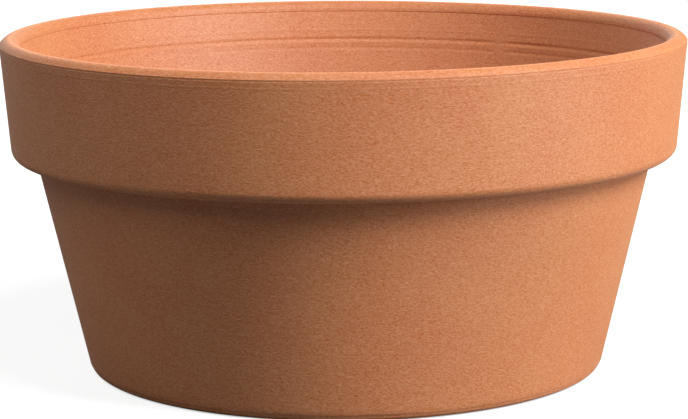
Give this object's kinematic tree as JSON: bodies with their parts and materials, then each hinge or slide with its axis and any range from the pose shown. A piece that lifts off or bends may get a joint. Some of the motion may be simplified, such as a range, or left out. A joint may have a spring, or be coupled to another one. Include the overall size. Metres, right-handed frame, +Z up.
{
  "type": "terracotta half pot",
  "caption": "Low round planter of bare fired clay with a heavy flared collar, a rounded lip, a tapered wall and a drain hole in its floor.",
  "frame": {"origin": "centre of the foot, on the ground", "axes": "+Z up the pot's axis; the pot is round, so +X and +Y have no meaning of their own"},
  "size_m": [0.3, 0.3, 0.147],
  "materials": {
    "terracotta": "matt unglazed fired clay, fine sandy grain, orange brown with faint redder clouds"
  },
  "bodies": {
    "root": {"rim_collar": "terracotta", "body_wall": "terracotta", "base": "terracotta"}
  },
  "joints": []
}
